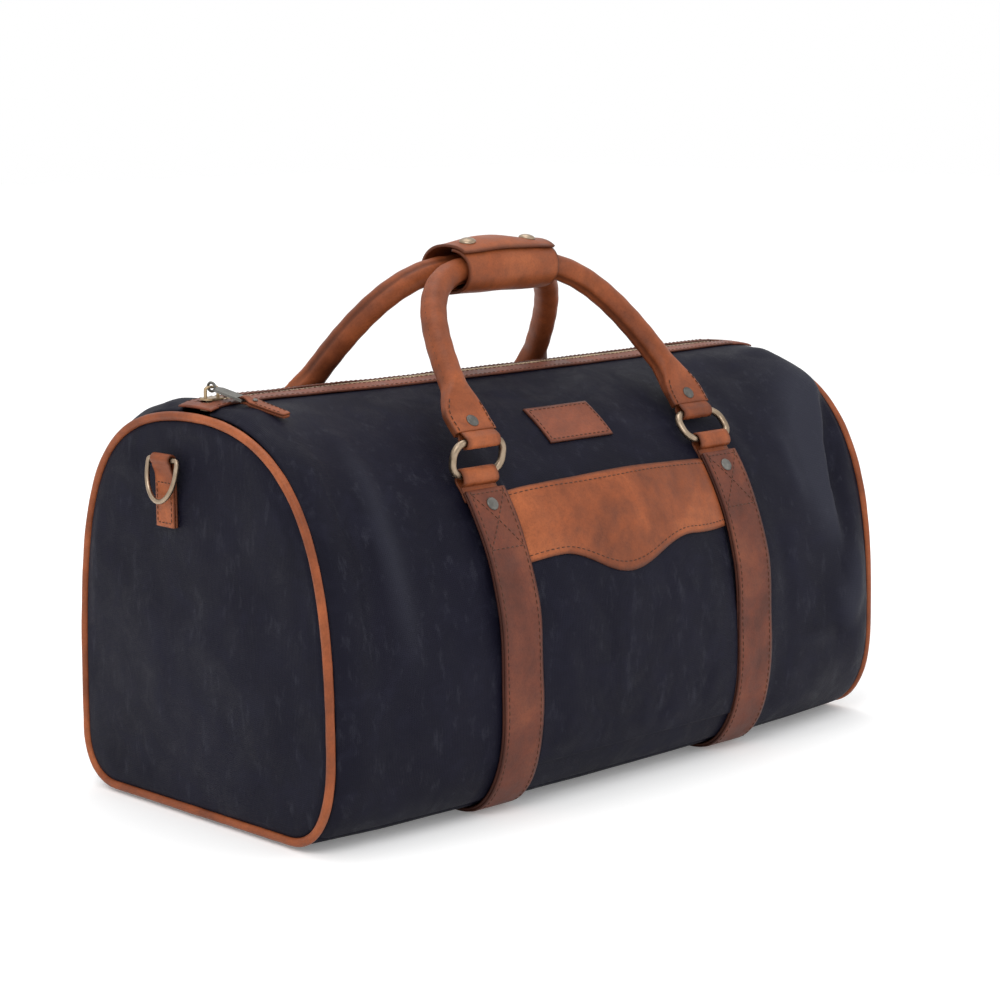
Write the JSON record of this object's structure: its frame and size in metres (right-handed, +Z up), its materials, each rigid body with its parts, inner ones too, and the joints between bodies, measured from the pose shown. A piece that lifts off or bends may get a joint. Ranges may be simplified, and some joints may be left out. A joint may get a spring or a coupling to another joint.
{
  "type": "weekender bag",
  "caption": "Soft canvas weekender with a full-length top zip, leather straps under the body, rolled handles on metal rings, a snap-closed grip wrap and a front slip pocket.",
  "frame": {"origin": "On the floor, under the middle of the bag: the middle of the bottom of the bounding box.", "axes": "+X along the bag towards the end that the zip opens towards, +Y towards the back, so the pocket faces -Y, +Z up."},
  "size_m": [0.6128, 0.3244, 0.4007],
  "materials": {
    "canvas": "waxed cotton canvas, navy",
    "leather": "vegetable-tanned leather, tan",
    "trim_leather": "oiled leather, brown",
    "lining": "plain cotton twill",
    "tape": "woven zip tape",
    "brass": "antique brass",
    "steel": "aged gunmetal",
    "board": "stiffening board",
    "cord": "twisted cotton cord"
  },
  "bodies": {
    "bag": {"front_panel": "canvas", "back_panel": "canvas", "base_panel": "canvas", "mouth_panel_front": "canvas", "mouth_panel_back": "canvas", "end_panel_left": "canvas", "end_panel_right": "canvas", "piping_left": "leather", "piping_right": "leather", "lining": "lining", "base_board": "board", "zip_end_tab_left": "trim_leather", "zip_end_tab_right": "trim_leather", "strap_left": "leather", "strap_right": "leather", "strap_chape_front_left": "leather", "strap_chape_front_right": "leather", "strap_chape_back_left": "leather", "strap_chape_back_right": "leather", "strap_rivet_front_left": "steel", "strap_rivet_front_right": "steel", "strap_rivet_back_left": "steel", "strap_rivet_back_right": "steel", "pocket_panel": "canvas", "pocket_trim": "leather", "patch": "trim_leather", "end_tab_left": "leather", "end_tab_right": "leather"},
    "slider": {"zip_slider": "brass"},
    "pull": {"zip_pull_bar": "steel", "zip_pull_tab": "leather", "zip_pull_rivet": "steel"},
    "lip_front": {"zip_facing_front": "trim_leather", "zip_tape_front": "tape", "zip_teeth_front": "brass"},
    "lip_back": {"zip_facing_back": "trim_leather", "zip_tape_back": "tape", "zip_teeth_back": "brass"},
    "rings_front": {"ring_front_left": "brass", "ring_front_right": "brass"},
    "rings_back": {"ring_back_left": "brass", "ring_back_right": "brass"},
    "front_handle": {"handle_front": "leather", "handle_core_front": "cord", "handle_chape_front_left": "leather", "handle_chape_front_right": "leather", "handle_rivet_front_left": "steel", "handle_rivet_front_right": "steel", "handle_wrap": "leather"},
    "back_handle": {"handle_back": "leather", "handle_core_back": "cord", "handle_chape_back_left": "leather", "handle_chape_back_right": "leather", "handle_rivet_back_left": "steel", "handle_rivet_back_right": "steel"},
    "flap": {"wrap_flap": "leather", "wrap_snap_left": "brass", "wrap_snap_right": "brass"},
    "d_left": {"d_ring_left": "brass"},
    "d_right": {"d_ring_right": "brass"}
  },
  "joints": [
    {"name": "zip_slide", "type": "slide", "parent": "bag", "child": "slider", "axis": [1, 0, 0], "range_m": [0, 0.515]},
    {"name": "mouth_front", "type": "slide", "parent": "bag", "child": "lip_front", "axis": [0, -0.9292, -0.3697], "range_m": [0, 0.04], "deforming": ["mouth_panel_front"]},
    {"name": "mouth_back", "type": "slide", "parent": "bag", "child": "lip_back", "axis": [0, 0.9292, -0.3697], "range_m": [0, 0.04], "deforming": ["mouth_panel_back"]},
    {"name": "pull_swing", "type": "hinge", "parent": "slider", "child": "pull", "pos_m": [-0.27, 0, 0.3086], "axis": [-1, 0, 0], "range_deg": [0, 205]},
    {"name": "rings_front_swing", "type": "hinge", "parent": "bag", "child": "rings_front", "pos_m": [0.125, -0.11391, 0.2433], "axis": [1, 0, 0], "range_deg": [0, 110]},
    {"name": "rings_back_swing", "type": "hinge", "parent": "bag", "child": "rings_back", "pos_m": [0.125, 0.11391, 0.2433], "axis": [-1, 0, 0], "range_deg": [0, 110]},
    {"name": "handle_front_swing", "type": "hinge", "parent": "rings_front", "child": "front_handle", "pos_m": [0.125, -0.09841, 0.26161], "axis": [0.9967, 0.078, -0.0213], "range_deg": [0, 35]},
    {"name": "handle_back_swing", "type": "hinge", "parent": "rings_back", "child": "back_handle", "pos_m": [0.125, 0.09841, 0.26161], "axis": [-1, 0, 0], "range_deg": [0, 84]},
    {"name": "wrap_open", "type": "hinge", "parent": "front_handle", "child": "flap", "pos_m": [0, 0, 0.3585], "axis": [-1, 0, 0], "range_deg": [0, 110], "deforming": ["wrap_flap", "handle_wrap"]},
    {"name": "d_left_swing", "type": "hinge", "parent": "bag", "child": "d_left", "pos_m": [-0.2995, 0.019, 0.259], "axis": [0, 1, 0], "range_deg": [0, 150]},
    {"name": "d_right_swing", "type": "hinge", "parent": "bag", "child": "d_right", "pos_m": [0.2995, 0.019, 0.259], "axis": [0, -1, 0], "range_deg": [0, 150]}
  ],
  "couplings": [
    {"joint": "mouth_front", "follows": "zip_slide", "ratio": 0.0776},
    {"joint": "mouth_back", "follows": "zip_slide", "ratio": 0.0776}
  ]
}
